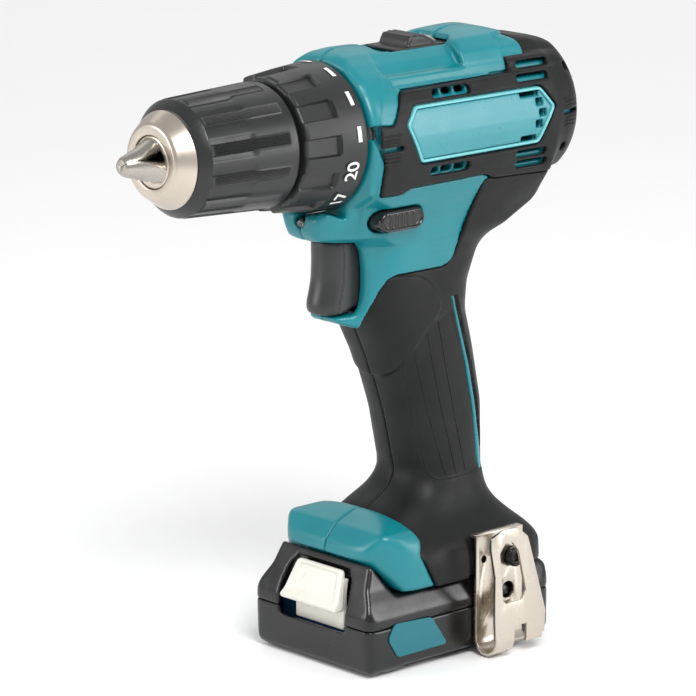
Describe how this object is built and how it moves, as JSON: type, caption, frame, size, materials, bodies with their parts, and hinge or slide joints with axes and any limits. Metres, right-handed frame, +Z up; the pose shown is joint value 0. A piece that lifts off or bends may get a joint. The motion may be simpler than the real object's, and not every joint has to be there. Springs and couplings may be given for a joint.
{
  "type": "cordless drill",
  "caption": "Compact cordless drill driver with a keyless chuck, torque ring, pistol grip, belt clip and slide-on battery.",
  "frame": {"origin": "on the battery's bottom face, in the mid-plane, below the handle", "axes": "+Z up, the chuck points to -Y, +X is the side that carries the belt clip"},
  "size_m": [0.0719, 0.187, 0.2144],
  "materials": {
    "housing_teal": "moulded, satin with fine grain",
    "soft_grip": "soft overmould, matte",
    "badge_panel": "smooth satin",
    "zinc_steel": "zinc plated",
    "die_cast": "die cast",
    "sintered_steel": "sintered",
    "natural_plastic": "moulded",
    "lamination_steel": "laminated, varnished",
    "copper": "turned copper",
    "brass": "stamped",
    "bearing_steel": "ground",
    "chuck_steel": "turned steel",
    "black_steel": "black oxide",
    "chuck_plastic": "moulded, satin, with fine ribs",
    "nickel": "nickel plated, satin bright",
    "jaw_steel": "ground steel",
    "ring_plastic": "moulded, matte",
    "black_plastic": "moulded",
    "trigger_plastic": "moulded, matte grain",
    "gloss_black": "gloss",
    "lamp_clear": "clear",
    "battery_black": "satin gloss",
    "cell_wrap": "shrink sleeve",
    "board_green": "resist",
    "button_white": "satin",
    "label_teal": "printed film"
  },
  "bodies": {
    "drill": {"housing_left": "housing_teal", "housing_right": "housing_teal", "grip_left": "soft_grip", "grip_right": "soft_grip", "bumper_left": "soft_grip", "bumper_right": "soft_grip", "badge_left": "badge_panel", "badge_right": "badge_panel", "housing_screws": "zinc_steel", "gear_case": "die_cast", "ring_gear_front": "sintered_steel", "motor_can": "zinc_steel", "motor_end_bell": "natural_plastic", "brush_holders": "brass", "front_bearing": "bearing_steel", "clutch_spring": "bearing_steel", "switch_body": "black_plastic", "lamp_lens": "lamp_clear", "lamp_holder": "black_plastic", "terminal_block": "black_plastic", "tool_blades": "brass", "belt_clip": "nickel", "clip_screw": "black_steel"},
    "chuck": {"spindle": "bearing_steel", "chuck_body": "chuck_steel", "chuck_screw": "black_steel", "carrier_front": "sintered_steel"},
    "chuck_sleeve": {"chuck_sleeve": "chuck_plastic", "nose_cap": "nickel", "chuck_nut": "sintered_steel"},
    "jaw_1": {"jaw_1": "jaw_steel"},
    "jaw_2": {"jaw_2": "jaw_steel"},
    "jaw_3": {"jaw_3": "jaw_steel"},
    "torque_ring": {"torque_ring": "ring_plastic"},
    "adjusting_nut": {"adjusting_nut": "sintered_steel"},
    "speed_selector": {"speed_selector": "black_plastic", "shift_fork": "zinc_steel", "ring_gear_shift": "sintered_steel"},
    "trigger": {"trigger": "trigger_plastic"},
    "direction_lever": {"direction_lever": "gloss_black"},
    "planet_front_1": {"planet_front_1": "sintered_steel"},
    "planet_front_2": {"planet_front_2": "sintered_steel"},
    "planet_front_3": {"planet_front_3": "sintered_steel"},
    "carrier_rear": {"carrier_rear": "sintered_steel"},
    "planet_rear_1": {"planet_rear_1": "sintered_steel"},
    "planet_rear_2": {"planet_rear_2": "sintered_steel"},
    "planet_rear_3": {"planet_rear_3": "sintered_steel"},
    "rotor": {"rotor": "lamination_steel", "commutator": "copper", "pinion": "sintered_steel"},
    "battery": {"battery_lower": "battery_black", "battery_upper": "battery_black", "battery_cells": "cell_wrap", "battery_board": "board_green", "battery_contacts": "brass", "battery_screws": "zinc_steel", "label_left": "label_teal", "label_right": "label_teal"},
    "battery_button": {"battery_button": "button_white"}
  },
  "joints": [
    {"name": "spindle_spin", "type": "hinge", "parent": "drill", "child": "chuck", "pos_m": [0, -0.06, 0.183], "axis": [0, -1, 0], "continuous": true},
    {"name": "chuck_sleeve_turn", "type": "hinge", "parent": "chuck", "child": "chuck_sleeve", "pos_m": [0, -0.09, 0.183], "axis": [0, -1, 0], "range_deg": [0, 1800]},
    {"name": "jaw_1_slide", "type": "slide", "parent": "chuck", "child": "jaw_1", "axis": [0, 0.9613, 0.2756], "range_m": [0, 0.0181]},
    {"name": "jaw_2_slide", "type": "slide", "parent": "chuck", "child": "jaw_2", "axis": [0.2387, 0.9613, -0.1378], "range_m": [0, 0.0181]},
    {"name": "jaw_3_slide", "type": "slide", "parent": "chuck", "child": "jaw_3", "axis": [-0.2387, 0.9613, -0.1378], "range_m": [0, 0.0181]},
    {"name": "torque_ring_turn", "type": "hinge", "parent": "drill", "child": "torque_ring", "pos_m": [0, -0.056, 0.183], "axis": [0, -1, 0], "range_deg": [-150, 150]},
    {"name": "adjusting_nut_slide", "type": "slide", "parent": "torque_ring", "child": "adjusting_nut", "axis": [0, 1, 0], "range_m": [-0.00151, 0.00151], "deforming": ["clutch_spring"]},
    {"name": "speed_selector_slide", "type": "slide", "parent": "drill", "child": "speed_selector", "axis": [0, 1, 0], "range_m": [-0.003, 0.003]},
    {"name": "trigger_pull", "type": "slide", "parent": "drill", "child": "trigger", "axis": [0, 1, 0], "range_m": [0, 0.006], "stiffness_N_per_m": 800, "springref_m": -0.004},
    {"name": "direction_lever_slide", "type": "slide", "parent": "drill", "child": "direction_lever", "axis": [1, 0, 0], "range_m": [-0.0026, 0.0026]},
    {"name": "carrier_rear_spin", "type": "hinge", "parent": "drill", "child": "carrier_rear", "pos_m": [0, -0.029, 0.183], "axis": [0, -1, 0], "continuous": true},
    {"name": "rotor_spin", "type": "hinge", "parent": "drill", "child": "rotor", "pos_m": [0, 0, 0.183], "axis": [0, -1, 0], "continuous": true},
    {"name": "planet_front_1_spin", "type": "hinge", "parent": "chuck", "child": "planet_front_1", "pos_m": [0.009, -0.038, 0.183], "axis": [0, -1, 0], "continuous": true},
    {"name": "planet_front_2_spin", "type": "hinge", "parent": "chuck", "child": "planet_front_2", "pos_m": [-0.0045, -0.038, 0.17521], "axis": [0, -1, 0], "continuous": true},
    {"name": "planet_front_3_spin", "type": "hinge", "parent": "chuck", "child": "planet_front_3", "pos_m": [-0.0045, -0.038, 0.19079], "axis": [0, -1, 0], "continuous": true},
    {"name": "planet_rear_1_spin", "type": "hinge", "parent": "carrier_rear", "child": "planet_rear_1", "pos_m": [0.009, -0.023, 0.183], "axis": [0, -1, 0], "continuous": true},
    {"name": "planet_rear_2_spin", "type": "hinge", "parent": "carrier_rear", "child": "planet_rear_2", "pos_m": [-0.0045, -0.023, 0.17521], "axis": [0, -1, 0], "continuous": true},
    {"name": "planet_rear_3_spin", "type": "hinge", "parent": "carrier_rear", "child": "planet_rear_3", "pos_m": [-0.0045, -0.023, 0.19079], "axis": [0, -1, 0], "continuous": true},
    {"name": "battery_slide", "type": "slide", "parent": "drill", "child": "battery", "axis": [0, -1, 0], "range_m": [0, 0.08]},
    {"name": "battery_button_press", "type": "slide", "parent": "battery", "child": "battery_button", "axis": [0, -0.247, -0.969], "range_m": [0, 0.004], "stiffness_N_per_m": 600, "springref_m": -0.004}
  ],
  "couplings": [
    {"joint": "jaw_1_slide", "follows": "chuck_sleeve_turn", "m_per_rad": 0.000573},
    {"joint": "jaw_2_slide", "follows": "chuck_sleeve_turn", "m_per_rad": 0.000573},
    {"joint": "jaw_3_slide", "follows": "chuck_sleeve_turn", "m_per_rad": 0.000573},
    {"joint": "adjusting_nut_slide", "follows": "torque_ring_turn", "m_per_rad": 0.000573},
    {"joint": "carrier_rear_spin", "follows": "spindle_spin", "ratio": 5},
    {"joint": "rotor_spin", "follows": "spindle_spin", "ratio": 25},
    {"joint": "planet_front_1_spin", "follows": "spindle_spin", "ratio": -2.6667},
    {"joint": "planet_front_2_spin", "follows": "spindle_spin", "ratio": -2.6667},
    {"joint": "planet_front_3_spin", "follows": "spindle_spin", "ratio": -2.6667},
    {"joint": "planet_rear_1_spin", "follows": "spindle_spin", "ratio": -13.333},
    {"joint": "planet_rear_2_spin", "follows": "spindle_spin", "ratio": -13.333},
    {"joint": "planet_rear_3_spin", "follows": "spindle_spin", "ratio": -13.333}
  ]
}
